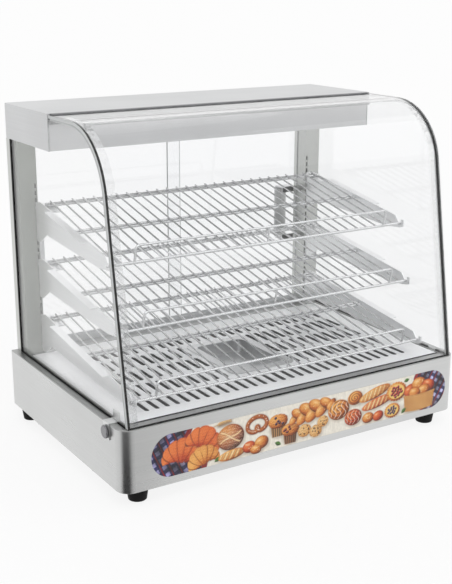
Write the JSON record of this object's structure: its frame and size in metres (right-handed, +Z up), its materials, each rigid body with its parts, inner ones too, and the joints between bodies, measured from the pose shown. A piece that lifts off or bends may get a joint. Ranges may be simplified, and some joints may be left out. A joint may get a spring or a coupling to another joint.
{
  "type": "heated display case",
  "caption": "Countertop warming cabinet: steel base with heater, bent glass front, tilted wire shelves on slotted posts, sliding rear glass doors, lamp box roof.",
  "frame": {"origin": "centre of the bounding box's footprint, at the underside of the rubber feet", "axes": "+X to the case's right as seen from its front, along its longest side; the bent glass front faces -Y and the sliding doors face +Y; +Z up"},
  "size_m": [0.6716, 0.4638, 0.566],
  "materials": {
    "stainless": "satin brushed",
    "deck_steel": "fine satin",
    "pan_steel": "satin, pressed",
    "rack_steel": "satin",
    "arm_steel": "satin",
    "wire": "bright plated",
    "screw_steel": "bright plated",
    "clear_glass": "polished, clear",
    "clear_trim": "clear plastic strip",
    "black_seal": "matte",
    "foot_rubber": "matte",
    "track_aluminium": "satin anodised",
    "handle_steel": "satin",
    "black_plastic": "fine texture",
    "knob_plastic": "semi-gloss",
    "amber_plastic": "translucent",
    "lens_plastic": "frosted",
    "lamp_glass": "frosted",
    "element_metal": "heat-darkened",
    "inner_metal": "mill finish",
    "holder_ceramic": "matte white",
    "terminal_plastic": "matte",
    "print_film": "printed film, satin"
  },
  "bodies": {
    "case": {"base_shell": "stainless", "base_rear_wall": "stainless", "base_top_frame": "stainless", "base_bottom_plate": "stainless", "rubber_feet": "foot_rubber", "foot_screws": "screw_steel", "case_screws": "screw_steel", "control_panel": "stainless", "thermostat_body": "inner_metal", "switch_housings": "black_plastic", "pilot_lamp": "amber_plastic", "cord_gland": "black_plastic", "terminal_block": "terminal_plastic", "heater_element": "element_metal", "heater_supports": "inner_metal", "heat_shield": "inner_metal", "deck_plate": "deck_steel", "front_decal": "print_film", "left_post": "rack_steel", "right_post": "rack_steel", "roof_cover": "stainless", "roof_soffit": "stainless", "lamp_lens": "lens_plastic", "lamp_holders": "holder_ceramic", "lamp_tube": "lamp_glass", "glass_channel": "stainless", "left_side_glass": "clear_glass", "right_side_glass": "clear_glass", "front_glass": "clear_glass", "side_seals": "black_seal", "front_seal": "black_seal", "edge_seals": "black_seal", "corner_trims": "clear_trim", "glass_clips": "stainless", "lower_door_track": "track_aluminium", "upper_door_track": "track_aluminium", "top_left_arm": "arm_steel", "top_right_arm": "arm_steel", "middle_left_arm": "arm_steel", "middle_right_arm": "arm_steel", "bottom_left_arm": "arm_steel", "bottom_right_arm": "arm_steel"},
    "left_door": {"left_door_glass": "clear_glass", "left_door_handle": "handle_steel"},
    "right_door": {"right_door_glass": "clear_glass", "right_door_handle": "handle_steel"},
    "knob": {"thermostat_knob": "knob_plastic", "thermostat_shaft": "screw_steel"},
    "heat_rocker": {"heat_switch_rocker": "knob_plastic"},
    "light_rocker": {"light_switch_rocker": "knob_plastic"},
    "left_screw": {"left_thumb_screw": "screw_steel"},
    "right_screw": {"right_thumb_screw": "screw_steel"},
    "top_shelf": {"top_shelf_grid": "wire", "top_shelf_rail": "wire"},
    "middle_shelf": {"middle_shelf_grid": "wire", "middle_shelf_rail": "wire"},
    "bottom_shelf": {"bottom_shelf_grid": "wire", "bottom_shelf_rail": "wire"},
    "pan": {"water_pan": "pan_steel"}
  },
  "joints": [
    {"name": "left_door_slide", "type": "slide", "parent": "case", "child": "left_door", "axis": [1, 0, 0], "range_m": [0, 0.228]},
    {"name": "right_door_slide", "type": "slide", "parent": "case", "child": "right_door", "axis": [1, 0, 0], "range_m": [-0.228, 0]},
    {"name": "thermostat_turn", "type": "hinge", "parent": "case", "child": "knob", "pos_m": [0.242, 0.21, 0.077], "axis": [0, 1, 0], "range_deg": [0, 270]},
    {"name": "heat_switch_rock", "type": "hinge", "parent": "case", "child": "heat_rocker", "pos_m": [0.13, 0.20665, 0.077], "axis": [1, 0, 0], "range_deg": [0, 20]},
    {"name": "light_switch_rock", "type": "hinge", "parent": "case", "child": "light_rocker", "pos_m": [0.178, 0.20665, 0.077], "axis": [1, 0, 0], "range_deg": [0, 20]},
    {"name": "left_screw_turn", "type": "hinge", "parent": "case", "child": "left_screw", "pos_m": [-0.33, -0.18355, 0.114], "axis": [-1, 0, 0], "range_deg": [-360, 0]},
    {"name": "right_screw_turn", "type": "hinge", "parent": "case", "child": "right_screw", "pos_m": [0.33, -0.18355, 0.114], "axis": [1, 0, 0], "range_deg": [-360, 0]},
    {"name": "top_shelf_lift", "type": "slide", "parent": "case", "child": "top_shelf", "axis": [0, 0, 1], "range_m": [0, 0.03]},
    {"name": "middle_shelf_lift", "type": "slide", "parent": "case", "child": "middle_shelf", "axis": [0, 0, 1], "range_m": [0, 0.03]},
    {"name": "bottom_shelf_lift", "type": "slide", "parent": "case", "child": "bottom_shelf", "axis": [0, 0, 1], "range_m": [0, 0.03]},
    {"name": "water_pan_lift", "type": "slide", "parent": "case", "child": "pan", "axis": [0, 0, 1], "range_m": [0, 0.026]}
  ]
}
